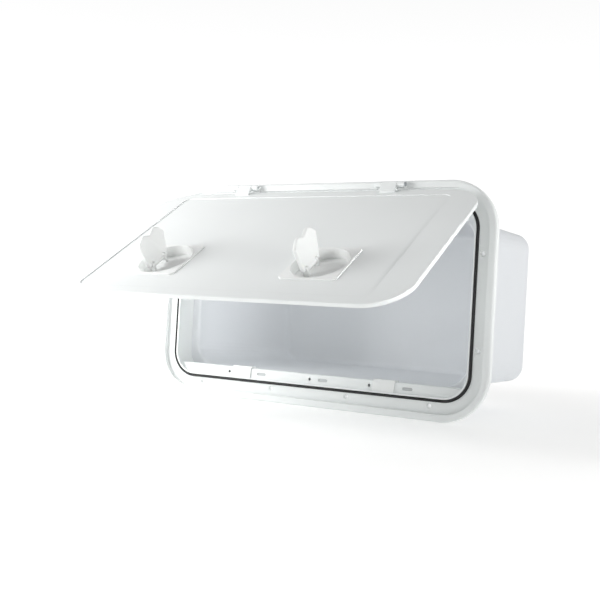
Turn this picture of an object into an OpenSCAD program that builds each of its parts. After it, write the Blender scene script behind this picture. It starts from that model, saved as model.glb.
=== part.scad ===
// Locker hatch for a caravan side wall: a moulded flange frame with a collar,
// a storage bin behind it, and a top-hung lid with two lift-and-turn latches.
// Y = 0 is the wall face, -Y is outdoors, +Y goes into the caravan.

/* [Flange] */
// Overall width of the flange
flange_w = 600; // [560:5:720]
// Overall height of the flange
flange_h = 355; // [335:5:440]
// Outer corner radius of the flange
flange_r = 75; // [66:1:84]
// Thickness of the flange plate
plate_t = 3; // [2.5:0.1:3.4]
// Width of the raised bezel round the lid
bezel_w = 11.5; // [10:0.5:12.5]
// Height of the bezel above the wall face
bezel_h = 10; // [9.6:0.1:11]
// Radius on the bezel's outer front edge
bezel_round = 4; // [2:0.5:5]

/* [Screw holes] */
// Distance of the screw rows from the flange's edge
screw_inset = 22; // [20.5:0.5:22.5]
// Pitch of the four holes in the top and bottom rows
row_pitch = 138.5; // [120:0.5:140]
// Distance between the two holes at each end
end_pitch = 140; // [120:1:160]
// Screw hole diameter
screw_d = 5.2; // [4:0.1:6]
// Countersink diameter at the front of the plate
sink_d = 9.2; // [7:0.1:9.6]

/* [Opening and collar] */
// Distance from the flange's edge to the outer side of the lip
lip_inset = 33.2; // [32:0.2:36]
// Wall of the lip and the collar
collar_t = 2.6; // [2:0.1:3.2]
// Height of the lip above the wall face
lip_h = 5.2; // [4:0.1:5.8]
// Corner radius of the opening
opening_r = 36; // [30:1:44]
// Depth of the collar behind the wall face
collar_depth = 34; // [32:1:60]

/* [Sill] */
// Height of the sill at the bottom of the opening
sill_h = 15.7; // [12:0.1:18]
// Depth of the sill
sill_d = 15; // [13:0.5:18]
// Wall of the sill
sill_t = 2.2; // [1.6:0.1:3]
// Radius of the sill's top edges
sill_r = 3.2; // [2.4:0.1:4]
// Lean of the sill's front wall
sill_lean = 2; // [0:0.5:4]
// Width of the drain slots in the sill
slot_w = 4.5; // [3:0.5:6]
// Length of the drain slots
slot_l = 17; // [12:1:20]

/* [Seal] */
// Width of the lid seal
seal_w = 5.8; // [4.8:0.2:6.2]
// Height of the seal above the flange plate
seal_h = 3.2; // [2.8:0.1:3.4]

/* [Bin] */
// Wall of the bin
bin_t = 3; // [2:0.25:4]
// Depth of the bin behind the wall face, outside
bin_depth = 326; // [240:2:420]
// How far the bin's mouth laps over the collar
bin_lap = 14; // [8:1:20]
// Width of the shoulder where the bin narrows behind the collar, at its ends
shoulder_end = 14.2; // [8:0.2:20]
// Width of the shoulder at the top and bottom
shoulder_edge = 13.2; // [8:0.2:20]
// Radius on the shoulder's inner edge
shoulder_r = 5; // [5:0.5:8]
// Draft angle of the bin's ends
end_draft = 1.4; // [0.5:0.1:4]
// Draft angle of the bin's floor and roof
floor_draft = 0.3; // [0.1:0.1:3]
// Inner radius of the bin's long edges behind the shoulder
body_r = 40; // [30:1:50]
// Inner radius of the bin's long edges at the rear
tail_r = 26; // [20:1:30]
// Inner radius of the bin's rear edges
bin_r = 9; // [6:1:16]

/* [Lid] */
// Gap between the lid and the bezel
lid_gap = 2.4; // [1.5:0.1:3]
// Corner radius of the lid
lid_r = 57; // [52:1:62]
// Gap between the lid's outer face and the bezel's front
lid_sink = 0.2; // [0:0.1:0.4]
// Thickness of the lid's skin
skin_t = 3.2; // [2.6:0.1:3.2]
// Gap between the lid's rim and the flange plate
rim_gap = 1; // [0.6:0.1:1.6]
// Thickness of the lid's rim
rim_t = 3; // [2:0.25:5]
// Width of the border at the lid's ends
border_end = 47; // [40:1:54]
// Width of the border at the lid's long edges
border_edge = 17.6; // [15:0.2:22]
// Depth of the panel sunk inside the border
panel_sink = 1.2; // [0.6:0.1:1.4]
// Corner radius of the sunk panel
panel_r = 12; // [6:1:24]
// Height of the ribs inside the lid
rib_h = 8; // [5:0.5:12]
// Thickness of the ribs
rib_t = 2.4; // [1.6:0.2:3.2]
// Gap between the rib frame and the keepers below it
rib_clear = 5.8; // [5:0.2:8]
// Space between the clamp rings and the cross ribs beside them
rib_space = 16; // [8:1:18]
// Radius on the lid's outer edge
lid_round = 1.5; // [1:0.25:2]
// Opening angle of the lid in the model
lid_open = 57.4; // [0:0.1:110]

/* [Hinges] */
// Distance of each hinge from the middle
hinge_x = 131.5; // [100:0.5:180]
// Overall length of a hinge
hinge_l = 48; // [40:1:60]
// Length of the lid's knuckle
knuckle_l = 25; // [18:1:30]
// Radius of the hinge barrels
barrel_r = 5; // [4.4:0.1:5.2]
// Hinge axis in front of the bezel
axis_out = 5.7; // [5.7:0.1:7]
// Hinge axis below the flange's top edge
axis_down = 6.5; // [6:0.1:6.8]
// Hinge pin diameter
pin_d = 4; // [3:0.1:5]

/* [Latches] */
// Distance of each latch from the middle
latch_x = 131; // [110:1:170]
// Height of the latches above the flange's bottom edge
latch_rise = 111.5; // [111:0.5:120]
// Side of the square escutcheon
plate_side = 88; // [87:1:94]
// Thickness of the escutcheon
plate_edge = 2; // [1.6:0.1:2.6]
// Corner radius of the escutcheon
plate_r = 8; // [5:1:14]
// Radius on the escutcheon's front edge
plate_round = 1.2; // [0.6:0.2:1.4]
// Radius of the round recess
dish_r = 41.2; // [40.5:0.1:41.6]
// Depth of the recess below the escutcheon
dish_depth = 16; // [15:0.5:18]
// Wall of the recess
dish_t = 2; // [1.5:0.1:2.2]
// Width of the ring that clamps the recess to the lid
ring_w = 5; // [4:0.5:6]
// Thickness of the clamp ring
ring_t = 3; // [2:0.5:4]
// Wall of the boss round the spindle
boss_t = 4; // [3:0.5:6]
// Height of the boss behind the recess
boss_h = 6.5; // [5:0.5:8]
// Radius of the latch spindle
spindle_r = 6; // [5:0.25:8]
// Radius of the spindle's threaded end
stud_r = 4; // [3:0.25:4.5]
// Radius of the turning disc in the recess
disc_r = 26; // [24:1:30]
// Thickness of the turning disc
disc_t = 2.9; // [2:0.1:4]
// Thickness of the handle
handle_t = 5.5; // [4:0.25:6]
// Reach of the handle's rounded edge from the spindle
handle_r = 35.5; // [33:0.5:36]
// Half width of the handle at its pivot
handle_base = 22.5; // [20:0.5:25]
// Half width of the handle near its tip
handle_tip = 29; // [26:0.5:30]
// Radius of the finger notch in the handle's edge
notch_r = 9; // [6:0.5:12]
// Distance of the notch from the middle of the handle's edge
notch_off = 7; // [0:0.5:12]
// Distance of the handle's pivot from the spindle
pivot_off = 16; // [14:0.5:18]
// Depth of the handle's pivot behind the escutcheon's front
pivot_in = 4.1; // [3.8:0.1:4.6]
// Diameter of the handle's pin
handle_pin_d = 3; // [2:0.25:4]
// How far the right handle is lifted in the model
lift_right = 90; // [0:1:90]
// How far the left handle is lifted in the model
lift_left = 90; // [0:1:90]

/* [Cams and keepers] */
// Length of the cam from the spindle to its tip
cam_l = 70; // [66:1:71]
// Width of the cam
cam_w = 18; // [14:1:22]
// Thickness of the cam
cam_t = 4; // [3:0.5:6]
// Gap between the cam and the keeper
cam_gap = 5; // [1:0.5:6]
// Width of a keeper
keeper_w = 36; // [30:1:44]
// Wall of a keeper
keeper_t = 2; // [1.5:0.25:3]
// Chamfer on a keeper's top edges
keeper_edge = 2.4; // [1:0.2:2.6]

/* [Hidden] */
$fn = 96;
eps = 0.01;
// How far a cutter stands out past what it cuts
over = 1;
// Running clearance of pins and spindles in their bores, on the radius
run = 0.05;
// Clearance between faces that slide past each other
slip = 0.5;
// Clearance round a piece that is fixed into an opening
fit = 0.3;

// Colours as the object shows them
shell_white = "#F1F3F2";
latch_white = "#F7F8F7";
rubber_black = "#17181A";
steel_grey = "#B9BDC0";

// Flange: rows of screws, and the origin on the bottom row
row_z = flange_h / 2 - screw_inset;
end_x = flange_w / 2 - screw_inset;

// Lip, collar and opening
lip_w = flange_w - 2 * lip_inset;
lip_hgt = flange_h - 2 * lip_inset;
lip_r = opening_r + collar_t;
opening_w = lip_w - 2 * collar_t;
opening_h = lip_hgt - 2 * collar_t;
sill_z = -opening_h / 2;
drain_z = sill_z + 0.45 * sill_h;
hole_off = 7;
slot_off = 21;
mid_slot_x = 24;

// Lid outline and the rebate it closes into
rebate_w = flange_w - 2 * bezel_w;
rebate_h = flange_h - 2 * bezel_w;
rebate_r = lid_r + lid_gap;
lid_w = rebate_w - 2 * lid_gap;
lid_h = rebate_h - 2 * lid_gap;
face_y = lid_sink - bezel_h;
inside_y = face_y + skin_t;
rim_y = -plate_t - rim_gap;
panel_y = face_y + panel_sink;
rib_gap = sill_h + keeper_t + rib_clear;
rib_frame_w = opening_w - 2 * rib_gap;
rib_frame_h = opening_h - 2 * rib_gap;
rib_frame_r = opening_r - rib_gap / 2;

// Hinge axis
axis_y = -bezel_h - axis_out;
axis_z = flange_h / 2 - axis_down;
pin_r = pin_d / 2;
pin_head_r = pin_r + 1.3;
pin_head_t = 1.2;
ear_l = (hinge_l - knuckle_l) / 2 - slip;
ear_x = (knuckle_l + ear_l) / 2 + slip;

// Latch height, and its depths from the escutcheon's front to the end of the spindle
latch_z = latch_rise - flange_h / 2;
front_y = panel_y - plate_edge;
dish_y = front_y + dish_depth;
dish_back = dish_y + dish_t;
cup_r = dish_r + dish_t;
ring_r = cup_r + ring_w;
boss_r = spindle_r + boss_t;
boss_y = dish_back + boss_h;
disc_gap = 0.2;
disc_y = dish_y - disc_gap - disc_t;
pivot_y = front_y + pivot_in;
handle_pin_r = handle_pin_d / 2;

// Lugs that hold the handle's pin: radius, inner and outer face
lug_r = 3.8;
lug_in = 12;
lug_out = 16.5;
lug_l = lug_out - lug_in;
lug_mid = (lug_in + lug_out) / 2;
lug_room = 2;

// Cam, washer and nut on the threaded end
cam_y = sill_d + keeper_t + cam_gap;
cam_back = cam_y + cam_t;
hub_r = cam_w / 2 + 2;
washer_r = 8.5;
washer_t = 1.2;
nut_af = 13;
nut_back = cam_back + 6.5;
stud_end = nut_back + 2;

// Bin: steps round each corner and rear edge, steps round the shoulder's edge, share of the
// rear rounding that its corners take, and inner size of its body behind the shoulder
bin_steps = 8;
edge_steps = 4;
rear_share = 0.9;
body_w = opening_w - 2 * shoulder_end;
body_h = opening_h - 2 * shoulder_edge;

// Rounded rectangle of straight sides and true arcs
module rounded(w, h, r) {
    square([w - 2 * r, h], center = true);
    square([w, h - 2 * r], center = true);
    for (sx = [-1, 1], sz = [-1, 1])
        translate([sx * (w / 2 - r), sz * (h / 2 - r)])
            circle(r);
}

// Band of width t inside a rounded rectangle
module band(w, h, r, t) {
    difference() {
        rounded(w, h, r);
        rounded(w - 2 * t, h - 2 * t, r - t);
    }
}

// Extrude an outline seen from the front between two depths
module slab(y0, y1) {
    translate([0, y1, 0])
        rotate([90, 0, 0])
            linear_extrude(y1 - y0)
                children();
}

// Round bar along Y
module rod(r, y0, y1) {
    translate([0, y1, 0])
        rotate([90, 0, 0])
            cylinder(r = r, h = y1 - y0);
}

// Round bar along X, centred
module bar(r, l) {
    rotate([0, 90, 0])
        cylinder(r = r, h = l, center = true);
}

// Carry a section (distance outside the path, depth) round a rounded rectangle
module swept(w, h, r) {
    for (mx = [0, 1], mz = [0, 1])
        mirror([mx, 0, 0])
            mirror([0, 0, mz])
                translate([w / 2 - r, 0, h / 2 - r])
                    rotate([-90, 0, 0])
                        rotate([0, 0, -90])
                            rotate_extrude(angle = 90)
                                translate([r, 0])
                                    children();
    for (m = [0, 1]) {
        mirror([m, 0, 0])
            translate([w / 2, 0, 0])
                linear_extrude(h - 2 * r, center = true)
                    children();
        mirror([0, 0, m])
            rotate([0, -90, 0])
                translate([h / 2, 0, 0])
                    linear_extrude(w - 2 * r, center = true)
                        children();
    }
}

// What a rounding of radius r takes off an outer edge whose front is at depth y
module edge_waste(r, y) {
    difference() {
        translate([-r, y - over])
            square([r + over, r + over]);
        translate([-r, y + r])
            circle(r);
    }
}

// Put the model's origin on the bottom screw row
module from_origin() {
    translate([0, 0, row_z])
        children();
}

// Swing what is drawn with the lid closed to the lid's modelled angle
module on_lid() {
    from_origin()
        translate([0, axis_y, axis_z])
            rotate([-lid_open, 0, 0])
                translate([0, -axis_y, -axis_z])
                    children();
}

// Place a latch piece drawn round its spindle: both latches are the same way round
module at_latch(side) {
    on_lid()
        translate([side * latch_x, 0, latch_z])
            children();
}

// Screw hole with its countersink in the flange plate
module screw_hole() {
    rod(screw_d / 2, -plate_t - over, over);
    translate([0, -plate_t, 0])
        rotate([-90, 0, 0])
            translate([0, 0, -eps])
                cylinder(d1 = sink_d, d2 = screw_d, h = (sink_d - screw_d) / 2);
}

// Section of the sill, drawn in depth and height, its walls moved in by t
module sill_section(t) {
    polygon([
        [t, -collar_t / 2],
        [sill_lean + t, sill_h - sill_r],
        [sill_d - t, sill_h - sill_r],
        [sill_d - t, -collar_t / 2]
    ]);
    translate([sill_lean + sill_r, -collar_t / 2])
        square([sill_d - sill_lean - 2 * sill_r, sill_h - t + collar_t / 2]);
    for (y = [sill_lean + sill_r, sill_d - sill_r])
        translate([y, sill_h - sill_r])
            circle(sill_r - t);
}

// Run a section drawn in depth and height along X at the opening's bottom
module along_sill(l) {
    translate([0, 0, sill_z])
        rotate([90, 0, 90])
            linear_extrude(l, center = true)
                children();
}

module sill() {
    intersection() {
        difference() {
            along_sill(opening_w)
                sill_section(0);
            along_sill(opening_w + 2 * over)
                sill_section(sill_t);
        }
        slab(-over, sill_d + over)
            rounded(opening_w + collar_t, opening_h + collar_t, opening_r + collar_t / 2);
    }
}

// Drain hole and drain slot in the sill's front wall, x from the middle
module drain_hole(x) {
    translate([x, 0, drain_z])
        rod(slot_w / 2, -over, sill_d / 2);
}

module drain_slot(x) {
    translate([x, 0, drain_z])
        slab(-over, sill_d / 2) {
            square([slot_l - slot_w, slot_w], center = true);
            for (s = [-1, 1])
                translate([s * (slot_l - slot_w) / 2, 0])
                    circle(slot_w / 2);
        }
}

module frame_shell() {
    slab(-plate_t, 0)
        difference() {
            rounded(flange_w, flange_h, flange_r);
            rounded(opening_w, opening_h, opening_r);
        }
    slab(-bezel_h, -plate_t)
        difference() {
            rounded(flange_w, flange_h, flange_r);
            rounded(rebate_w, rebate_h, rebate_r);
        }
    slab(-lip_h, collar_depth)
        difference() {
            rounded(lip_w, lip_hgt, lip_r);
            rounded(opening_w, opening_h, opening_r);
        }
    sill();
}

module frame() {
    color(shell_white)
        from_origin()
            difference() {
                frame_shell();
                swept(flange_w, flange_h, flange_r)
                    edge_waste(bezel_round, -bezel_h);
                for (sz = [-1, 1], k = [-1.5:1:1.5])
                    translate([k * row_pitch, 0, sz * row_z])
                        screw_hole();
                for (sx = [-1, 1], sz = [-1, 1])
                    translate([sx * end_x, 0, sz * end_pitch / 2])
                        screw_hole();
                for (x = [-latch_x, latch_x]) {
                    drain_hole(x - keeper_w / 2 - hole_off);
                    drain_slot(x + keeper_w / 2 + slot_off);
                }
                drain_hole(0);
                drain_slot(mid_slot_x);
            }
}

// Seal lying on the plate against the lip, rounded at its front
module seal() {
    color(rubber_black)
        from_origin()
            swept(lip_w, lip_hgt, lip_r) {
                translate([0, -plate_t - seal_h + seal_w / 2])
                    square([seal_w, seal_h - seal_w / 2]);
                intersection() {
                    translate([seal_w / 2, -plate_t - seal_h + seal_w / 2])
                        circle(seal_w / 2);
                    translate([0, -plate_t - seal_h])
                        square([seal_w, seal_h]);
                }
            }
}

// Points round a rounded rectangle at one depth, bin_steps to each corner
function ring_points(w, h, r, y) = [
    for (q = [0:3], k = [0:bin_steps])
        let (a = 90 * (q + k / bin_steps))
            [(q == 0 || q == 3 ? 1 : -1) * (w / 2 - r) + r * cos(a),
                y,
                (q < 2 ? 1 : -1) * (h / 2 - r) + r * sin(a)]
];

// Rings of one skin of the bin, grown outwards by t: mouth over the collar, shoulder with its
// rounded inner edge, tapering body, rounded rear edges
function bin_rings(t) =
    let (
        shoulder_y = collar_depth + fit,
        body_y = shoulder_y + shoulder_r,
        edge = bin_r + t,
        edge_y = bin_depth - bin_t - bin_r,
        in_w = t - (edge_y - body_y) * tan(end_draft),
        in_h = t - (edge_y - body_y) * tan(floor_draft)
    )
        concat(
            [for (y = [collar_depth - bin_lap, shoulder_y + t])
                ring_points(lip_w + 2 * t, lip_hgt + 2 * t, opening_r + t, y)],
            [for (k = [0:edge_steps])
                let (b = 90 * k / edge_steps, turn = (shoulder_r - t) * (1 - sin(b)), grow = 2 * (t + turn))
                    ring_points(body_w + grow, body_h + grow, body_r + t + turn,
                        body_y - (shoulder_r - t) * cos(b))],
            [for (k = [0:bin_steps])
                let (b = 90 * k / bin_steps, turn = edge * (1 - cos(b)))
                    ring_points(body_w + 2 * (in_w - turn), body_h + 2 * (in_h - turn),
                        tail_r + t - rear_share * turn, edge_y + edge * sin(b))]
        );

// The bin is one closed skin: outside, rear, inside and the edge of its mouth
module bin() {
    outer = bin_rings(bin_t);
    inner = bin_rings(0);
    rings = concat([for (k = [len(outer) - 1:-1:0]) outer[k]], inner);
    n = len(rings[0]);
    last = len(rings) - 1;
    sides = [
        for (k = [0:last - 1], i = [0:n - 1])
            let (j = (i + 1) % n, a = k * n + i, b = k * n + j)
                each [[a, b, b + n], [a, b + n, a + n]]
    ];
    color(shell_white)
        from_origin()
            polyhedron([for (ring = rings) each ring],
                concat(
                    [[for (i = [n - 1:-1:0]) i]],
                    sides,
                    [[for (i = [0:n - 1]) last * n + i]]
                ));
}

// Keeper: a cap over the sill that the cam closes behind, its top edges chamfered
module keeper(side) {
    top = sill_h + keeper_t;
    back = sill_d + keeper_t;
    color(latch_white)
        from_origin()
            translate([side * latch_x, 0, 0])
                difference() {
                    along_sill(keeper_w)
                        polygon([
                            [-keeper_t, 0],
                            [sill_lean - keeper_t, sill_h - sill_r],
                            [sill_lean - keeper_t + keeper_edge, top],
                            [back - keeper_edge, top],
                            [back, top - keeper_edge],
                            [back, 0]
                        ]);
                    along_sill(keeper_w + 2 * over)
                        sill_section(0);
                }
}

// Two ears on the bezel that hold the hinge pin
module hinge_ears(side) {
    foot_low = flange_h / 2 - bezel_w + fit;
    foot_high = flange_h / 2 - bezel_round - fit;
    color(shell_white)
        from_origin()
            for (s = [-1, 1])
                translate([side * hinge_x + s * ear_x, 0, 0])
                    difference() {
                        union() {
                            translate([0, axis_y, axis_z])
                                bar(barrel_r, ear_l);
                            rotate([90, 0, 90])
                                linear_extrude(ear_l, center = true)
                                    polygon([
                                        [axis_y, axis_z - barrel_r],
                                        [-bezel_h, foot_low],
                                        [-bezel_h, foot_high],
                                        [axis_y, axis_z + barrel_r]
                                    ]);
                        }
                        translate([0, axis_y, axis_z])
                            bar(pin_r + run, ear_l + 2 * over);
                    }
}

module hinge_pin(side) {
    color(steel_grey)
        from_origin()
            translate([side * hinge_x, axis_y, axis_z]) {
                bar(pin_r, hinge_l);
                translate([side * (hinge_l + pin_head_t) / 2, 0, 0])
                    bar(pin_head_r, pin_head_t);
            }
}

// Skin, rim and ribs of the lid; the cross ribs stand clear of both clamp rings
module lid_shell() {
    ring_top = ring_r + latch_z;
    outer_x = latch_x + ring_r + rib_space;
    inner_x = latch_x - ring_r - rib_space;
    slab(face_y, inside_y)
        rounded(lid_w, lid_h, lid_r);
    slab(inside_y - eps, rim_y)
        band(lid_w, lid_h, lid_r, rim_t);
    slab(inside_y - eps, inside_y + rib_h) {
        band(rib_frame_w, rib_frame_h, rib_frame_r, rib_t);
        for (x = [-outer_x, -inner_x, 0, inner_x, outer_x])
            translate([x, 0])
                square([rib_t, rib_frame_h - rib_t], center = true);
        for (share = [1 / 3, 2 / 3])
            translate([0, ring_top + share * (rib_frame_h / 2 - ring_top)])
                square([rib_frame_w - rib_t, rib_t], center = true);
    }
}

module lid() {
    color(shell_white)
        on_lid()
            difference() {
                lid_shell();
                swept(lid_w, lid_h, lid_r)
                    edge_waste(lid_round, face_y);
                slab(face_y - over, panel_y)
                    rounded(lid_w - 2 * border_end, lid_h - 2 * border_edge, panel_r);
                for (s = [-1, 1])
                    translate([s * latch_x, 0, latch_z])
                        rod(cup_r + fit, face_y - over, inside_y + over);
            }
}

// Leaf on the lid's top border, ending in the barrel on the hinge pin
module lid_knuckle(side) {
    top = lid_h / 2;
    leaf_low = top - border_edge / 2;
    leaf_t = 2.8;
    arm_back = -bezel_h - 1.6;
    arm_step = 1.4;
    arm_top = axis_z - 1;
    color(shell_white)
        on_lid()
            translate([side * hinge_x, 0, 0])
                difference() {
                    union() {
                        translate([0, axis_y, axis_z])
                            bar(barrel_r, knuckle_l);
                        rotate([90, 0, 90])
                            linear_extrude(knuckle_l, center = true)
                                polygon([
                                    [axis_y - barrel_r + fit / 3, arm_top],
                                    [face_y - leaf_t, leaf_low],
                                    [face_y, leaf_low],
                                    [face_y, top],
                                    [arm_back, top + arm_step],
                                    [arm_back, arm_top]
                                ]);
                    }
                    translate([0, axis_y, axis_z])
                        bar(pin_r + run, knuckle_l + 2 * over);
                }
}

// Square escutcheon with a round recess and a boss for the spindle
module latch_case(side) {
    color(latch_white)
        at_latch(side)
            difference() {
                union() {
                    slab(front_y, panel_y)
                        rounded(plate_side, plate_side, plate_r);
                    rod(cup_r, panel_y - eps, dish_back);
                    rod(boss_r, dish_back - eps, boss_y);
                }
                rod(dish_r, front_y - over, dish_y);
                rod(spindle_r + run, dish_y - over, boss_y + over);
                swept(plate_side, plate_side, plate_r)
                    edge_waste(plate_round, front_y);
            }
}

// Ring that clamps the recess to the inside of the lid
module clamp_ring(side) {
    color(shell_white)
        at_latch(side)
            difference() {
                rod(ring_r, inside_y, inside_y + ring_t);
                rod(cup_r + fit, inside_y - over, inside_y + ring_t + over);
            }
}

// Turning disc with its two lugs, spindle and threaded end
module spindle(side) {
    color(latch_white)
        at_latch(side) {
            difference() {
                union() {
                    rod(disc_r, disc_y, disc_y + disc_t);
                    for (s = [-1, 1])
                        translate([-pivot_off, 0, s * lug_mid]) {
                            translate([0, pivot_y, 0])
                                cylinder(r = lug_r, h = lug_l, center = true);
                            translate([-lug_r, pivot_y, -lug_l / 2])
                                cube([2 * lug_r, disc_y - pivot_y + disc_t / 2, lug_l]);
                        }
                    rod(spindle_r, disc_y + disc_t - eps, cam_y);
                    rod(stud_r, cam_y - eps, stud_end);
                }
                translate([-pivot_off, pivot_y, 0])
                    cylinder(r = handle_pin_r + run, h = 2 * (lug_out + over), center = true);
            }
        }
}

module handle_pin(side) {
    color(steel_grey)
        at_latch(side)
            translate([-pivot_off, pivot_y, 0])
                cylinder(r = handle_pin_r, h = 2 * (lug_out + slip), center = true);
}

// Cam, drawn unlocked: it points to the middle of the lid
module cam(side) {
    reach = cam_l - cam_w / 2;
    color(steel_grey)
        at_latch(side)
            difference() {
                union() {
                    rod(hub_r, cam_y, cam_back);
                    slab(cam_y, cam_back) {
                        translate([-side * reach / 2, 0])
                            square([reach, cam_w], center = true);
                        translate([-side * reach, 0])
                            circle(cam_w / 2);
                    }
                }
                rod(stud_r + run, cam_y - over, cam_back + over);
            }
}

module cam_nut(side) {
    color(steel_grey)
        at_latch(side)
            difference() {
                union() {
                    rod(washer_r, cam_back, cam_back + washer_t);
                    translate([0, nut_back, 0])
                        rotate([90, 0, 0])
                            cylinder(d = nut_af / cos(30), h = nut_back - cam_back, $fn = 6);
                }
                rod(stud_r + run, cam_back - over, nut_back + over);
            }
}

// Outline of the handle lying in the recess, round the spindle, with room for both lugs
module handle_outline() {
    intersection() {
        polygon([
            [-pivot_off, -handle_base],
            [handle_r / 2, -handle_tip],
            [handle_r, -handle_tip],
            [handle_r, handle_tip],
            [handle_r / 2, handle_tip],
            [-pivot_off, handle_base]
        ]);
        difference() {
            circle(handle_r);
            translate([handle_r + notch_r / 3, -notch_off])
                circle(notch_r);
            for (s = [-1, 1])
                translate([-pivot_off + (lug_r + lug_room - over) / 2, s * lug_mid])
                    square([lug_r + lug_room + over, lug_l + 2 * slip], center = true);
        }
    }
}

// Handle on its pin, lifted by the given angle from where it lies in the recess
module handle(side, lift) {
    color(latch_white)
        at_latch(side)
            translate([-pivot_off, pivot_y, 0])
                rotate([0, 0, -lift])
                    translate([pivot_off, -pivot_y, 0])
                        difference() {
                            union() {
                                slab(pivot_y - handle_t / 2, pivot_y + handle_t / 2)
                                    handle_outline();
                                translate([-pivot_off, pivot_y, 0])
                                    cylinder(r = lug_r, h = 2 * (lug_in - slip), center = true);
                            }
                            translate([-pivot_off, pivot_y, 0])
                                cylinder(r = handle_pin_r + run, h = 2 * (lug_out + over), center = true);
                        }
}

frame();
seal();
bin();
keeper(-1);  // keeper_left
keeper(1);  // keeper_right
hinge_ears(-1);  // hinge_ears_left
hinge_ears(1);  // hinge_ears_right
hinge_pin(-1);  // hinge_pin_left
hinge_pin(1);  // hinge_pin_right
lid();
lid_knuckle(-1);  // lid_knuckle_left
lid_knuckle(1);  // lid_knuckle_right
latch_case(-1);  // latch_case_left
latch_case(1);  // latch_case_right
clamp_ring(-1);  // clamp_ring_left
clamp_ring(1);  // clamp_ring_right
spindle(-1);  // spindle_left
spindle(1);  // spindle_right
cam(-1);  // cam_left
cam(1);  // cam_right
cam_nut(-1);  // cam_nut_left
cam_nut(1);  // cam_nut_right
handle_pin(-1);  // handle_pin_left
handle_pin(1);  // handle_pin_right
handle(-1, lift_left);  // handle_left
handle(1, lift_right);  // handle_right
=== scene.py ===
"""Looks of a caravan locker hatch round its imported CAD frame, laid out as a Blender add-on.

Lengths are in metres, in the CAD frame: X to the right, Y into the vehicle, Z up, with the origin
on the flange's back face, midway along its bottom row of screw holes.
"""
import math

import bmesh
import bpy
import numpy as np
from mathutils import Matrix, Vector


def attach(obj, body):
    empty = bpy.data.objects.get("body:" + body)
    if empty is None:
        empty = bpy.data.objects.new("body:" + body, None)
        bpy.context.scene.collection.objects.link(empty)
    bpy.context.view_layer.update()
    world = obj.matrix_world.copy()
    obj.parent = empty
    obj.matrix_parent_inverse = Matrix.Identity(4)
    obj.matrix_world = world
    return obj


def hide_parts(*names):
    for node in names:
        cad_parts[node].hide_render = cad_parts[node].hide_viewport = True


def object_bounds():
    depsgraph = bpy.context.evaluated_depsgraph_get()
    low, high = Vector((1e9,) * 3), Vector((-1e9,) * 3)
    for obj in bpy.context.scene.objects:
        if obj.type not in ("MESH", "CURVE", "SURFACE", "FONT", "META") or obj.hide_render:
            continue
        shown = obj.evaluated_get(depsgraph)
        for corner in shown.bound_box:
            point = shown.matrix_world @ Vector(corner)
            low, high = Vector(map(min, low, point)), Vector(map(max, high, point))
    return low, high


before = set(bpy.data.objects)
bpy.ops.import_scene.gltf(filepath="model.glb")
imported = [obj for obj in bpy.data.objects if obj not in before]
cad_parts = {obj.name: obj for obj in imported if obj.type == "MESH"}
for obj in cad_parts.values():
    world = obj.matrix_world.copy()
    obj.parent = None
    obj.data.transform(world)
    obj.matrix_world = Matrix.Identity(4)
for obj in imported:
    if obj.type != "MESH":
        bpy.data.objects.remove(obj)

bl_info = {
    "name": "Caravan locker hatch",
    "version": (1, 0, 0),
    "blender": (4, 5, 0),
    "location": "View3D > Sidebar > Hatch",
    "description": "Dresses the locker hatch: shell, bin, drains, latches, steel, seal and studio",
    "category": "Object",
}

CAD_BOX = [list(corner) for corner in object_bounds()]
MM = 0.001

# Sizes repeated from the part's source. The seal's path round the lip, and the plate that it lies on
ROW_Z = 155.5 * MM
PLATE_FRONT_Y = -3 * MM
LIP_W, LIP_H, LIP_R = 533.6 * MM, 288.6 * MM, 38.6 * MM
# The hinge axis, and the lid's angle as modelled
HINGE_Y, HINGE_Z = -15.7 * MM, 326.5 * MM
LID_OPEN = math.radians(57.4)
# Where the spindles stand on the closed lid, and what the washer and the nut lie on and reach to
LATCH_X, LATCH_Z = 131 * MM, 89.5 * MM
CAM_BACK_Y, NUT_BACK_Y, BORE_R = 26 * MM, 32.5 * MM, 4.05 * MM
WASHER_R, WASHER_T, NUT_HALF = 8.5 * MM, 1.2 * MM, 6.5 * MM
# The handle as it lies in its recess: its pin and barrel, its plate, and the room for the spindle's lugs
PIVOT_X, PIVOT_Y, BARREL_R, BARREL_HALF = -16 * MM, -6.5 * MM, 3.8 * MM, 11.5 * MM
HANDLE_T, HANDLE_REACH, HANDLE_BASE, HANDLE_TIP = 5.5 * MM, 35.5 * MM, 22.5 * MM, 29 * MM
LUG_ROOM_X, LUG_ROOM_IN, LUG_ROOM_OUT = -10.2 * MM, 11.5 * MM, 17 * MM
# The sill's drain slots, and how far its wall leans back for each unit of height
SLOT_W, SLOT_L, SLOT_Z, SLOT_Y, SILL_SLOPE = 4.5 * MM, 17 * MM, 20.77 * MM, 1.2 * MM, 0.146
SLOT_PLACES = (-92 * MM, 24 * MM, 170 * MM)

# Details that only this script has. The finger notch: its direction, half its width and its depth
NOTCH_TURN, NOTCH_HALF, NOTCH_DEPTH = math.radians(-3.5), math.radians(27), 8.5 * MM
# How far small edges are drawn in: barrel, washer, the nut's face and the thread's mouth
BARREL_EDGE, WASHER_EDGE, NUT_FACE_EDGE, THREAD_EDGE = 0.3 * MM, 0.2 * MM, 0.1 * MM, 0.5 * MM
# The seal: height of the small lips beside its round top, and their width
SEAL_LIP, SEAL_LIP_W = 0.6 * MM, 0.3 * MM
# Rings of a grey plate of painted slot shade, front to back: how far each is drawn in from the slot, and its
# depth
SLOT_PLATE_RINGS = ((0.4 * MM, 0.7 * MM), (0.1 * MM, 1.0 * MM), (0.1 * MM, 1.9 * MM))
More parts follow.
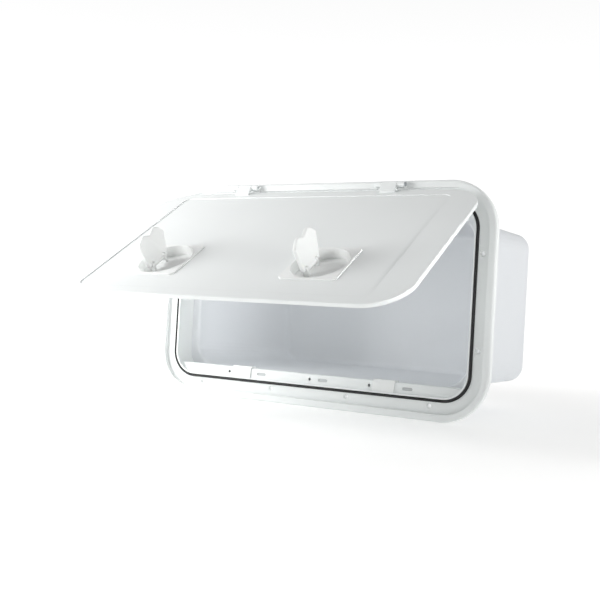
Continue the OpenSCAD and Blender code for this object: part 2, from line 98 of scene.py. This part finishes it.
# Points to a round: half a slot's end, a handle's edge, barrel, nut, seal's top, lip's corner and floor
END_STEPS, EDGE_STEPS, BARREL_STEPS, NUT_STEPS = 13, 6, 32, 72
SEAL_STEPS, CORNER_STEPS, FLOOR_STEPS = 13, 25, 64

# Second tones, which each material drifts to (the last for the grey plates of painted shade in the drain
# slots), and tones of the sheet's glow, the dust and the paper
SHELL_SHADE, BIN_SHADE, LATCH_SHADE, SLOT_PLATE_SHADE = "#E8EBEB", "#EEF1F4", "#ECEEED", "#BDC0C1"
SHEET_GLOW, RUBBER_DUST, PAPER, WHITE = "#F9FAFB", "#1B1C1F", "#F6F6F5", "#FFFFFF"

# The soft boxes: where each stands and how wide it is; the gridded one also has its aim and its beam
KEY_PLACE, KEY_WIDTH = (-0.8, -0.55, 0.42), 0.5
FRONT_PLACE, FRONT_WIDTH = (0.1, -2.2, 0.2), 1.6
SIDE_PLACE, SIDE_WIDTH = (1.7, -0.25, 0.55), 0.8
GRID_PLACE, GRID_WIDTH = (1.08, -0.46, 0.2), 0.12
GRID_TARGET, GRID_SPREAD = (0.21, -0.16, 0.19), math.radians(23)
# The floor: radii of its rings, and between which distances its glow rises
FLOOR_RADII = (0.6, 3.0, 30.0)
LIFT_FROM, LIFT_TO = 0.5, 2.0
# The surroundings: the heights between which they fade overhead, and the depths between which the front does
SKY_FROM, SKY_TO, FRONT_FROM, FRONT_TO = 0.05, 0.9, -0.8, 0.0

# The photo: its frame in pixels, the focal length in pixels, and where the camera stands
PHOTO_PX = 600
FOCAL_PX = 912.6
SENSOR = 36.0
CAMERA_AZIMUTH = math.radians(31.09)
CAMERA_RISE = math.radians(-0.60)
CAMERA_ROLL = math.radians(3.23)
CAMERA_DISTANCE = 1466.9 * MM
CAMERA_TARGET = (-25.2 * MM, 0.0, 146.2 * MM)


def linear(hex_colour):
    """An sRGB hex colour as linear red, green, blue and alpha."""
    parts = [int(hex_colour[k:k + 2], 16) / 255 for k in (1, 3, 5)]
    return [p / 12.92 if p <= 0.04045 else ((p + 0.055) / 1.055) ** 2.4 for p in parts] + [1.0]


def add(tree, kind, values=None, links=None, **settings):
    """Add a node of a kind to a tree, with its settings, socket values and incoming links."""
    node = tree.nodes.new(kind)
    for name, value in settings.items():
        setattr(node, name, value)
    for socket, value in (values or {}).items():
        node.inputs[socket].default_value = value
    for socket, source in (links or {}).items():
        tree.links.new(source, node.inputs[socket])
    return node


def new_material(name):
    """A fresh material with an output and nothing else."""
    material = bpy.data.materials.new(name)
    material.use_nodes = True
    material.node_tree.nodes.clear()
    return material, material.node_tree


def per_metre(millimetres):
    """Texture scale for features of this size: noise has about one feature per unit."""
    return 1000.0 / millimetres


def moulded_plastic(name, tones, roughness, peel_mm, peel_height_mm, edge_mm, through=0.0):
    """Moulded plastic: two close tones drift over the piece, the surface has the faint orange peel that the
    tool leaves, gloss varies a little where hands have rubbed it, and moulded edges are softly rounded.
    Thin sheet lets a share of the light through its wall."""
    material, tree = new_material(name)
    place = add(tree, "ShaderNodeTexCoord").outputs["Object"]
    drift = add(tree, "ShaderNodeTexNoise", {"Scale": per_metre(160), "Detail": 2.0}, {"Vector": place})
    tone = add(tree, "ShaderNodeMix", {6: linear(tones[0]), 7: linear(tones[1])}, {0: drift.outputs["Fac"]},
               data_type="RGBA")
    rub = add(tree, "ShaderNodeTexNoise", {"Scale": per_metre(28), "Detail": 5.0, "Roughness": 0.65},
              {"Vector": place})
    gloss = add(tree, "ShaderNodeMapRange",
                {"From Min": 0.3, "From Max": 0.75, "To Min": roughness - 0.02, "To Max": roughness + 0.03},
                {"Value": rub.outputs["Fac"]})
    peel = add(tree, "ShaderNodeTexNoise", {"Scale": per_metre(peel_mm), "Detail": 1.5}, {"Vector": place})
    edge = add(tree, "ShaderNodeBevel", {"Radius": edge_mm * MM}, samples=6)
    bump = add(tree, "ShaderNodeBump", {"Strength": 0.3, "Distance": peel_height_mm * MM},
               {"Height": peel.outputs["Fac"], "Normal": edge.outputs["Normal"]})
    shader = add(tree, "ShaderNodeBsdfPrincipled", {"IOR": 1.53},
                 {"Base Color": tone.outputs[2], "Roughness": gloss.outputs["Result"],
                  "Normal": bump.outputs["Normal"]})
    surface = shader.outputs["BSDF"]
    if through:
        glow = add(tree, "ShaderNodeBsdfTranslucent", {"Color": linear(SHEET_GLOW)})
        mixed = add(tree, "ShaderNodeMixShader", {0: through}, {1: surface, 2: glow.outputs["BSDF"]})
        surface = mixed.outputs["Shader"]
    add(tree, "ShaderNodeOutputMaterial", links={"Surface": surface})
    return material


def extruded_rubber(name, tone, roughness):
    """Extruded EPDM rubber: near black, matt, with a fine skin from the die and a trace of dust."""
    material, tree = new_material(name)
    place = add(tree, "ShaderNodeTexCoord").outputs["Object"]
    dust = add(tree, "ShaderNodeTexNoise", {"Scale": per_metre(9), "Detail": 6.0, "Roughness": 0.7},
               {"Vector": place})
    tint = add(tree, "ShaderNodeValToRGB", links={"Fac": dust.outputs["Fac"]})
    for stop, position, colour in zip(tint.color_ramp.elements, (0.45, 0.8), (tone, RUBBER_DUST)):
        stop.position = position
        stop.color = linear(colour)
    skin = add(tree, "ShaderNodeTexNoise", {"Scale": per_metre(0.8), "Detail": 2.0}, {"Vector": place})
    bump = add(tree, "ShaderNodeBump", {"Strength": 0.5, "Distance": 0.05 * MM},
               {"Height": skin.outputs["Fac"]})
    shader = add(tree, "ShaderNodeBsdfPrincipled", {"IOR": 1.52, "Roughness": roughness},
                 {"Base Color": tint.outputs["Color"], "Normal": bump.outputs["Normal"]})
    add(tree, "ShaderNodeOutputMaterial", links={"Surface": shader.outputs["BSDF"]})
    return material


def zinc_steel(name, tone, roughness):
    """Pressed steel with bright zinc plating: cool grey metal whose spangle varies its gloss."""
    material, tree = new_material(name)
    place = add(tree, "ShaderNodeTexCoord").outputs["Object"]
    spangle = add(tree, "ShaderNodeTexVoronoi", {"Scale": per_metre(3.5)}, {"Vector": place})
    cloud = add(tree, "ShaderNodeTexNoise", {"Scale": per_metre(5), "Detail": 4.0}, {"Vector": place})
    gloss = add(tree, "ShaderNodeMapRange",
                {"From Min": 0.3, "From Max": 0.7, "To Min": roughness - 0.08, "To Max": roughness + 0.12},
                {"Value": cloud.outputs["Fac"]})
    edge = add(tree, "ShaderNodeBevel", {"Radius": 0.3 * MM}, samples=6)
    bump = add(tree, "ShaderNodeBump", {"Strength": 0.2, "Distance": 0.02 * MM},
               {"Height": spangle.outputs["Distance"], "Normal": edge.outputs["Normal"]})
    shader = add(tree, "ShaderNodeBsdfPrincipled", {"Base Color": linear(tone), "Metallic": 1.0},
                 {"Roughness": gloss.outputs["Result"], "Normal": bump.outputs["Normal"]})
    add(tree, "ShaderNodeOutputMaterial", links={"Surface": shader.outputs["BSDF"]})
    return material


def nodes_named(*starts):
    """The names of the CAD nodes that start with any of these."""
    return [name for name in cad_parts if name.startswith(starts)]


def wear(nodes, material):
    """Give each named CAD node one material."""
    for name in nodes:
        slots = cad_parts[name].data.materials
        slots.clear()
        slots.append(material)


def grid_quads(rows, columns, ring_rows, ring_columns):
    """Corner numbers of the quads of a grid of points, row by row; a ring joins its end to its start."""
    r = np.arange(rows if ring_rows else rows - 1)[:, None]
    c = np.arange(columns if ring_columns else columns - 1)[None, :]
    r2, c2 = (r + 1) % rows, (c + 1) % columns
    quads = np.stack([r * columns + c, r * columns + c2, r2 * columns + c2, r2 * columns + c], axis=-1)
    return quads.reshape(-1, 4)


def capped_tube(rows, columns, first=0):
    """Faces of a tube of closed rings with both its ends shut, over points that are numbered from first."""
    ends = [list(range(columns))[::-1], list(range((rows - 1) * columns, rows * columns))]
    return [[first + corner for corner in face]
            for face in grid_quads(rows, columns, False, True).tolist() + ends]


def make_piece(name, points, faces, material, smooth=True, closed=True):
    """A mesh object from an array of points and a list of faces; a closed one gets its normals outwards."""
    mesh = bpy.data.meshes.new(name)
    places = np.asarray(points, float).reshape(-1, 3).tolist()
    mesh.from_pydata(places, [], [list(map(int, face)) for face in faces])
    mesh.polygons.foreach_set("use_smooth", np.full(len(mesh.polygons), smooth))
    mesh.materials.append(material)
    if closed:
        work = bmesh.new()
        work.from_mesh(mesh)
        bmesh.ops.recalc_face_normals(work, faces=work.faces)
        work.to_mesh(mesh)
        work.free()
    mesh.update()
    piece = bpy.data.objects.new(name, mesh)
    bpy.context.scene.collection.objects.link(piece)
    return piece


def rounded_path(width, height, radius, steps):
    """Points round a rounded rectangle and their outward directions, in X and Z: each corner is a quarter
    circle in equal angles, and the straights are what joins the corners."""
    turn = np.arange(4)[:, None] * 90 + np.linspace(0, 90, steps)[None, :]
    angle = np.radians(turn)
    out = np.stack([np.cos(angle), np.sin(angle)], axis=-1)
    side = np.array([[1, 1], [-1, 1], [-1, -1], [1, -1]], float)[:, None, :]
    centre = side * np.array([width / 2 - radius, height / 2 - radius])
    return (centre + radius * out).reshape(-1, 2), out.reshape(-1, 2)


def carried_profile(path, out, profile):
    """A closed profile (distance outwards, depth) carried round a closed path in X and Z."""
    x = path[:, None, 0] + out[:, None, 0] * profile[None, :, 0]
    z = path[:, None, 1] + out[:, None, 1] * profile[None, :, 0] + ROW_Z
    y = np.broadcast_to(profile[None, :, 1], x.shape)
    return np.stack([x, y, z], axis=-1)


def on_lid(points):
    """Turn points drawn with the lid closed about the hinge axis to the lid's modelled angle."""
    p = np.asarray(points, float).copy()
    y, z = p[..., 1] - HINGE_Y, p[..., 2] - HINGE_Z
    p[..., 1] = HINGE_Y + y * math.cos(LID_OPEN) + z * math.sin(LID_OPEN)
    p[..., 2] = HINGE_Z - y * math.sin(LID_OPEN) + z * math.cos(LID_OPEN)
    return p


def at_latch(points, side):
    """Points drawn round a spindle with the lid closed, put at one latch of the modelled lid."""
    return on_lid(np.asarray(points, float) + np.array([side * LATCH_X, 0.0, LATCH_Z]))


def turned(profile, steps, limit=None):
    """Surface of revolution about the spindle: (radius, depth) turned through 360 degrees. A limit on the
    radius, given for each direction, cuts flats into it."""
    turn = np.radians(np.arange(steps) * 360 / steps)
    radius = np.repeat(profile[:, :1], steps, axis=1)
    if limit is not None:
        radius = np.minimum(radius, limit(turn))
    depth = np.repeat(profile[:, 1:], steps, axis=1)
    return np.stack([radius * np.cos(turn), depth, radius * np.sin(turn)], axis=-1)


def hexagon(turn):
    """Radius of the nut's flats: half its width over the cosine of the angle from the nearest flat."""
    return NUT_HALF / np.cos((turn + math.pi / 6) % (math.pi / 3) - math.pi / 6)


def handle_outline():
    """Outline of the handle in its recess, in X and Z round the spindle: a round end whose radius dips by a
    cosine bell at the finger notch, flanks that narrow to the pivot, and two slots there for the lugs."""
    sweep = math.asin(HANDLE_TIP / HANDLE_REACH)
    turn = np.linspace(-sweep, sweep, 121)
    along = np.clip((turn - NOTCH_TURN) / NOTCH_HALF, -1, 1)
    radius = HANDLE_REACH - NOTCH_DEPTH * (1 + np.cos(math.pi * along)) / 2
    end = radius[:, None] * np.stack([np.cos(turn), np.sin(turn)], axis=-1)
    flank = np.linspace((HANDLE_REACH / 2, HANDLE_TIP), (PIVOT_X, HANDLE_BASE), 9)
    slot = np.array([(PIVOT_X, LUG_ROOM_OUT), (LUG_ROOM_X, LUG_ROOM_OUT),
                     (LUG_ROOM_X, LUG_ROOM_IN), (PIVOT_X, LUG_ROOM_IN)])
    upper = np.concatenate([flank, slot])
    return np.concatenate([end, upper, (upper * (1, -1))[::-1]])


def inset(path, distance):
    """A closed path moved inwards: each corner goes along the bisector of its two sides, by the distance
    over the cosine of half its turn."""
    ahead = np.roll(path, -1, axis=0) - path
    ahead /= np.hypot(*ahead.T)[:, None]
    behind = np.roll(ahead, 1, axis=0)
    inward = np.stack([-(ahead + behind)[:, 1], (ahead + behind)[:, 0]], axis=-1)
    return path + 2 * distance * inward / (inward ** 2).sum(axis=1)[:, None]


def lifted(points):
    """Swing what lies in the recess a quarter turn out of it, about the handle's pin."""
    dx, dy = points[..., 0] - PIVOT_X, points[..., 1] - PIVOT_Y
    return np.stack([PIVOT_X + dy, PIVOT_Y - dx, points[..., 2]], axis=-1)


class HatchColours(bpy.types.PropertyGroup):
    """Colours and gloss of the hatch."""
    shell: bpy.props.StringProperty(
        name="Shell white", description="Flange, lid and hinges", default="#EEF1F0")
    latch: bpy.props.StringProperty(
        name="Latch white", description="Escutcheons, handles and keepers", default="#F2F3F2")
    bin_skin: bpy.props.StringProperty(
        name="Bin white", description="Storage bin", default="#F3F5F7")
    # Grey of the plates in the drain slots: painted shade for the half-lit inside of the slots
    slot_plate_grey: bpy.props.StringProperty(
        name="Slot plate grey", description="Painted shade in the sill's drain slots", default="#C6C9CA")
    rubber: bpy.props.StringProperty(
        name="Seal black", description="Lid seal", default="#060607")
    steel: bpy.props.StringProperty(
        name="Zinc grey", description="Cams, nuts and pins", default="#B9BDC0")
    shell_roughness: bpy.props.FloatProperty(
        name="Shell roughness", description="Roughness of the shell's gloss",
        default=0.3, min=0.05, max=1.0)


class HatchSizes(bpy.types.PropertyGroup):
    """Sizes of the pieces made here."""
    seal_width: bpy.props.FloatProperty(
        name="Seal width", description="Width of the seal on the plate", default=4.6 * MM, unit="LENGTH")
    seal_height: bpy.props.FloatProperty(
        name="Seal height", description="Height of the seal above the plate",
        default=3.2 * MM, unit="LENGTH")
    handle_edge: bpy.props.FloatProperty(
        name="Handle edge", description="Radius on the handle's edges", default=1.7 * MM, unit="LENGTH")
    nut_chamfer: bpy.props.FloatProperty(
        name="Nut chamfer", description="Depth of the chamfer on a nut's corners",
        default=0.6 * MM, unit="LENGTH")


class HatchStage(bpy.types.PropertyGroup):
    """Floor, lights and sky."""
    key_power: bpy.props.FloatProperty(
        name="Key light", description="Power of the soft light at the left",
        default=9, min=0.0, unit="POWER")
    front_power: bpy.props.FloatProperty(
        name="Front light", description="Power of the soft light in front",
        default=0.5, min=0.0, unit="POWER")
    side_power: bpy.props.FloatProperty(
        name="Side light", description="Power of the soft light at the right",
        default=4.6, min=0.0, unit="POWER")
    grid_power: bpy.props.FloatProperty(
        name="Gridded light", description="Power of the narrow beam from the right",
        default=0.07, min=0.0, unit="POWER")
    horizon: bpy.props.FloatProperty(
        name="Horizon", description="Brightness of the white surroundings at the horizon",
        default=1.16, min=0.0)
    zenith: bpy.props.FloatProperty(
        name="Zenith", description="Brightness of the white surroundings overhead",
        default=0.58, min=0.0)
    front_share: bpy.props.FloatProperty(
        name="Front share",
        description="Brightness in front of the hatch, as a share of the brightness behind it",
        default=0.12, min=0.0, max=1.0)
    floor_near: bpy.props.FloatProperty(
        name="Floor lift near", description="Glow that lifts the paper's white under the hatch",
        default=0.25, min=0.0)
    floor_far: bpy.props.FloatProperty(
        name="Floor lift far", description="Glow that lifts the paper's white two metres away",
        default=0.7, min=0.0)


class HATCH_OT_shell(bpy.types.Operator):
    """Dress the flange frame, lid, clamp rings and hinges as moulded white plastic"""
    bl_idname = "hatch.shell"
    bl_label = "Shell"

    def execute(self, context):
        look = context.scene.hatch_colours
        shell = moulded_plastic("moulded_asa_shell", (look.shell, SHELL_SHADE), look.shell_roughness,
                                peel_mm=3.0, peel_height_mm=0.02, edge_mm=0.6)
        wear(["frame", "lid"] + nodes_named("clamp_ring", "hinge_ears", "lid_knuckle"), shell)
        return {"FINISHED"}


class HATCH_OT_bin(bpy.types.Operator):
    """Dress the bin as vacuum-formed sheet"""
    bl_idname = "hatch.bin"
    bl_label = "Bin"

    def execute(self, context):
        look = context.scene.hatch_colours
        skin = moulded_plastic("formed_abs_sheet", (look.bin_skin, BIN_SHADE), 0.38,
                               peel_mm=5.0, peel_height_mm=0.02, edge_mm=0.8, through=0.32)
        wear(["bin"], skin)
        return {"FINISHED"}


class HATCH_OT_latches(bpy.types.Operator):
    """Dress the latches and keepers as moulded white plastic"""
    bl_idname = "hatch.latches"
    bl_label = "Latches"

    def execute(self, context):
        look = context.scene.hatch_colours
        white = moulded_plastic("moulded_nylon_latch", (look.latch, LATCH_SHADE), 0.34,
                                peel_mm=2.0, peel_height_mm=0.015, edge_mm=0.5)
        wear(nodes_named("latch_case", "spindle", "keeper"), white)
        for side, name in ((-1, "left"), (1, "right")):
            self.handle(side, name, context.scene.hatch_sizes.handle_edge, white)
        return {"FINISHED"}

    def handle(self, side, name, edge, material):
        """The lifted handle: its outline carried through the thickness, drawn in along a quarter circle at
        both faces, on the barrel that turns on the pin."""
        path = handle_outline()
        turn = np.radians(np.linspace(0, 90, EDGE_STEPS))
        drawn_in = edge * (1 - np.sin(turn))
        depth = HANDLE_T / 2 - edge * (1 - np.cos(turn))
        rings = [(d, PIVOT_Y - y) for d, y in zip(drawn_in, depth)]
        rings += [(d, PIVOT_Y + y) for d, y in zip(drawn_in[::-1], depth[::-1])]
        leaf = np.stack([np.insert(inset(path, d), 1, y, axis=1) for d, y in rings])
        around = np.radians(np.arange(BARREL_STEPS) * 360 / BARREL_STEPS)
        ends = np.array([[BARREL_R - BARREL_EDGE, -BARREL_HALF], [BARREL_R, -BARREL_HALF + BARREL_EDGE],
                         [BARREL_R, BARREL_HALF - BARREL_EDGE], [BARREL_R - BARREL_EDGE, BARREL_HALF]])
        barrel = np.stack([PIVOT_X + ends[:, :1] * np.cos(around), PIVOT_Y + ends[:, :1] * np.sin(around),
                           np.repeat(ends[:, 1:], BARREL_STEPS, axis=1)], axis=-1)
        points = np.concatenate([leaf.reshape(-1, 3), barrel.reshape(-1, 3)])
        faces = capped_tube(len(rings), len(path))
        faces += capped_tube(len(ends), BARREL_STEPS, first=len(rings) * len(path))
        piece = make_piece("handle_leaf_" + name, at_latch(lifted(points), side), faces, material)
        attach(piece, "handle_" + name)
        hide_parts("handle_" + name)


class HATCH_OT_drains(bpy.types.Operator):
    """Fill the sill's drain slots with grey plates whose grey is painted shade for the slots' half-lit inside
    """
    bl_idname = "hatch.drains"
    bl_label = "Drains"

    def execute(self, context):
        """Each plate is a slot's outline, two half circles and two straights, carried through its thickness
        and leaning as the sill's wall does, with the front edge drawn in. Its grey is painted shade for the
        inside of the slot."""
        look = context.scene.hatch_colours
        # Grey plates: painted shade standing in for the half-lit inside of each drain slot
        grey = moulded_plastic("painted_slot_shade", (look.slot_plate_grey, SLOT_PLATE_SHADE), 0.5,
                               peel_mm=2.0, peel_height_mm=0.015, edge_mm=0.3)
        half_turn = np.linspace(-90, 90, END_STEPS)
        turn = np.radians(np.concatenate([half_turn, half_turn + 180]))
        side = np.repeat((1, -1), END_STEPS)
        for number, middle in enumerate(SLOT_PLACES, 1):
            points = []
            for drawn_in, depth in SLOT_PLATE_RINGS:
                radius = SLOT_W / 2 - drawn_in
                x = middle + side * (SLOT_L - SLOT_W) / 2 + radius * np.cos(turn)
                z = radius * np.sin(turn)
                points.append(np.stack([x, SLOT_Y + depth + SILL_SLOPE * z, SLOT_Z + z], axis=-1))
            faces = capped_tube(len(points), len(turn))
            # One plate of painted slot shade
            piece = make_piece("slot_shade_plate_%d" % number, np.stack(points), faces, grey, smooth=False)
            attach(piece, "base")
        return {"FINISHED"}


class HATCH_OT_steel(bpy.types.Operator):
    """Dress cams, nuts and pins as zinc-plated steel"""
    bl_idname = "hatch.steel"
    bl_label = "Steel"

    def execute(self, context):
        steel = zinc_steel("zinc_plated_steel", context.scene.hatch_colours.steel, 0.32)
        wear(nodes_named("cam_left", "cam_right", "hinge_pin", "handle_pin"), steel)
        for side, name in ((-1, "left"), (1, "right")):
            self.nut(side, name, context.scene.hatch_sizes.nut_chamfer, steel)
        return {"FINISHED"}

    def nut(self, side, name, chamfer, material):
        """The nut and its washer: two turned rings, the nut's with six flats and chamfered corners."""
        washer_y = CAM_BACK_Y + WASHER_T
        crest = NUT_HALF / math.cos(math.pi / 6)
        washer = np.array([[BORE_R, CAM_BACK_Y], [WASHER_R - WASHER_EDGE, CAM_BACK_Y],
                           [WASHER_R, CAM_BACK_Y + WASHER_EDGE], [WASHER_R, washer_y - WASHER_EDGE],
                           [WASHER_R - WASHER_EDGE, washer_y], [BORE_R, washer_y]])
        nut = np.array([[BORE_R, washer_y], [NUT_HALF - NUT_FACE_EDGE, washer_y], [crest, washer_y + chamfer],
                        [crest, NUT_BACK_Y - chamfer], [NUT_HALF - NUT_FACE_EDGE, NUT_BACK_Y],
                        [BORE_R + THREAD_EDGE, NUT_BACK_Y], [BORE_R, NUT_BACK_Y - THREAD_EDGE]])
        rings = np.concatenate([turned(washer, NUT_STEPS), turned(nut, NUT_STEPS, hexagon)])
        faces = np.concatenate([grid_quads(len(washer), NUT_STEPS, True, True),
                                grid_quads(len(nut), NUT_STEPS, True, True) + len(washer) * NUT_STEPS])
        piece = make_piece("nut_" + name, at_latch(rings, side), faces, material, smooth=False)
        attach(piece, "latch_" + name)
        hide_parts("cam_nut_" + name)


class HATCH_OT_seal(bpy.types.Operator):
    """Lay the rubber seal on the plate against the lip"""
    bl_idname = "hatch.seal"
    bl_label = "Seal"

    def execute(self, context):
        size = context.scene.hatch_sizes
        rubber = extruded_rubber("extruded_epdm_seal", context.scene.hatch_colours.rubber, 0.55)
        # D section: flat foot, two small lips beside it, round top
        turn = np.radians(np.linspace(180, 0, SEAL_STEPS))
        half = size.seal_width / 2
        lip_y = PLATE_FRONT_Y - SEAL_LIP
        top = np.stack([half + (half - SEAL_LIP_W) * np.cos(turn),
                        lip_y - (size.seal_height - SEAL_LIP) * np.sin(turn)], axis=-1)
        foot = np.array([[2 * half, lip_y], [2 * half, PLATE_FRONT_Y], [0.0, PLATE_FRONT_Y], [0.0, lip_y]])
        path, out = rounded_path(LIP_W, LIP_H, LIP_R, CORNER_STEPS)
        points = carried_profile(path, out, np.concatenate([top, foot]))
        piece = make_piece("seal_bulb", points, grid_quads(*points.shape[:2], True, True), rubber)
        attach(piece, "base")
        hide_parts("seal")
        return {"FINISHED"}


class HATCH_OT_stage(bpy.types.Operator):
    """Set up the floor, the soft studio light and the camera of the photo"""
    bl_idname = "hatch.stage"
    bl_label = "Stage"

    def execute(self, context):
        scene = context.scene
        stage = scene.hatch_stage
        scene.view_settings.view_transform = "Standard"
        self.surroundings(scene, stage)
        self.floor(stage)
        self.soft_light("key_light", KEY_PLACE, KEY_WIDTH, stage.key_power)
        self.soft_light("front_light", FRONT_PLACE, FRONT_WIDTH, stage.front_power)
        self.soft_light("side_light", SIDE_PLACE, SIDE_WIDTH, stage.side_power)
        # A gridded soft box: its narrow beam meets the lifted handles and skims the lid
        self.soft_light("grid_light", GRID_PLACE, GRID_WIDTH, stage.grid_power, GRID_TARGET, GRID_SPREAD)
        self.camera(scene)
        return {"FINISHED"}

    def surroundings(self, scene, stage):
        """White surroundings: brighter at the horizon than overhead, and dim in front of the hatch."""
        world = bpy.data.worlds.new("white_surroundings")
        scene.world = world
        world.use_nodes = True
        tree = world.node_tree
        tree.nodes.clear()
        heading = add(tree, "ShaderNodeTexCoord").outputs["Generated"]
        axis = add(tree, "ShaderNodeSeparateXYZ", links={"Vector": heading}).outputs
        height = add(tree, "ShaderNodeMapRange",
                     {"From Min": SKY_FROM, "From Max": SKY_TO,
                      "To Min": stage.horizon, "To Max": stage.zenith},
                     {"Value": axis["Z"]})
        shade = add(tree, "ShaderNodeMapRange",
                    {"From Min": FRONT_FROM, "From Max": FRONT_TO, "To Min": stage.front_share, "To Max": 1.0},
                    {"Value": axis["Y"]})
        glow = add(tree, "ShaderNodeMath", None,
                   {0: height.outputs["Result"], 1: shade.outputs["Result"]}, operation="MULTIPLY")
        back = add(tree, "ShaderNodeBackground", {"Color": linear(WHITE)},
                   {"Strength": glow.outputs["Value"]})
        add(tree, "ShaderNodeOutputWorld", links={"Surface": back.outputs["Background"]})

    def floor(self, stage):
        """A flat disc of white paper under the hatch, whose own glow rises with the distance."""
        turn = np.radians(np.arange(FLOOR_STEPS) * 360 / FLOOR_STEPS)
        radii = np.array(FLOOR_RADII)[:, None]
        rows = len(radii)
        level = np.full((rows, FLOOR_STEPS), CAD_BOX[0][2])
        points = np.stack([radii * np.cos(turn), radii * np.sin(turn), level], axis=-1)
        faces = [list(range(FLOOR_STEPS))] + grid_quads(rows, FLOOR_STEPS, False, True)[:, ::-1].tolist()
        paper, tree = new_material("studio_paper")
        place = add(tree, "ShaderNodeTexCoord").outputs["Object"]
        reach = add(tree, "ShaderNodeVectorMath", None, {0: place}, operation="LENGTH")
        lift = add(tree, "ShaderNodeMapRange", {"From Min": LIFT_FROM, "From Max": LIFT_TO,
                                                "To Min": stage.floor_near, "To Max": stage.floor_far},
                   {"Value": reach.outputs["Value"]})
        shader = add(tree, "ShaderNodeBsdfPrincipled",
                     {"Base Color": linear(PAPER), "Roughness": 0.9, "Emission Color": linear(WHITE)},
                     {"Emission Strength": lift.outputs["Result"]})
        add(tree, "ShaderNodeOutputMaterial", links={"Surface": shader.outputs["BSDF"]})
        floor = make_piece("floor", points, faces, paper, closed=False)

    def soft_light(self, name, place, width, power, target=(0, 0, ROW_Z), spread=math.pi):
        """A square soft box at a place, turned to a target, by default the middle of the hatch."""
        data = bpy.data.lights.new(name, "AREA")
        data.size = width
        data.energy = power
        data.spread = spread
        light = bpy.data.objects.new(name, data)
        light.location = place
        light.visible_camera = False
        light.rotation_euler = (Vector(target) - Vector(place)).to_track_quat("-Z", "Y").to_euler()
        bpy.context.scene.collection.objects.link(light)

    def camera(self, scene):
        """The camera: turned about the target by azimuth and rise, then rolled about its own axis."""
        azimuth, rise, roll = CAMERA_AZIMUTH, CAMERA_RISE, CAMERA_ROLL
        level = math.cos(rise)
        back = Vector((math.sin(azimuth) * level, -math.cos(azimuth) * level, math.sin(rise)))
        right = Vector((0, 0, 1)).cross(back).normalized()
        up = back.cross(right)
        rolled_right = math.cos(roll) * right + math.sin(roll) * up
        rolled_up = math.cos(roll) * up - math.sin(roll) * right
        data = bpy.data.cameras.new("photo_camera")
        data.sensor_width = SENSOR
        data.lens = FOCAL_PX / PHOTO_PX * SENSOR
        data.clip_end = 100.0
        camera = bpy.data.objects.new("photo_camera", data)
        place = Matrix((rolled_right, rolled_up, back)).transposed().to_4x4()
        place.translation = Vector(CAMERA_TARGET) + CAMERA_DISTANCE * back
        camera.matrix_world = place
        scene.collection.objects.link(camera)
        scene.camera = camera


class HATCH_PT_panel(bpy.types.Panel):
    """Lists the hatch's pieces, colours and stage"""
    bl_idname = "HATCH_PT_panel"
    bl_label = "Locker hatch"
    bl_space_type = "VIEW_3D"
    bl_region_type = "UI"
    bl_category = "Hatch"

    def draw(self, context):
        for operator in OPERATORS:
            self.layout.operator(operator.bl_idname)
        for group in (context.scene.hatch_colours, context.scene.hatch_sizes, context.scene.hatch_stage):
            for name in group.__annotations__:
                self.layout.prop(group, name)


GROUPS = {"hatch_colours": HatchColours, "hatch_sizes": HatchSizes, "hatch_stage": HatchStage}
OPERATORS = (HATCH_OT_shell, HATCH_OT_bin, HATCH_OT_drains, HATCH_OT_latches, HATCH_OT_steel,
             HATCH_OT_seal, HATCH_OT_stage)
CLASSES = tuple(GROUPS.values()) + OPERATORS + (HATCH_PT_panel,)


def register():
    for cls in CLASSES:
        bpy.utils.register_class(cls)
    for name, group in GROUPS.items():
        setattr(bpy.types.Scene, name, bpy.props.PointerProperty(type=group))


def unregister():
    for name in GROUPS:
        delattr(bpy.types.Scene, name)
    for cls in reversed(CLASSES):
        bpy.utils.unregister_class(cls)


def main():
    """Register the add-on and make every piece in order."""
    register()
    for operator in OPERATORS:
        group, name = operator.bl_idname.split(".")
        getattr(getattr(bpy.ops, group), name)()


if __name__ == "__main__":
    main()
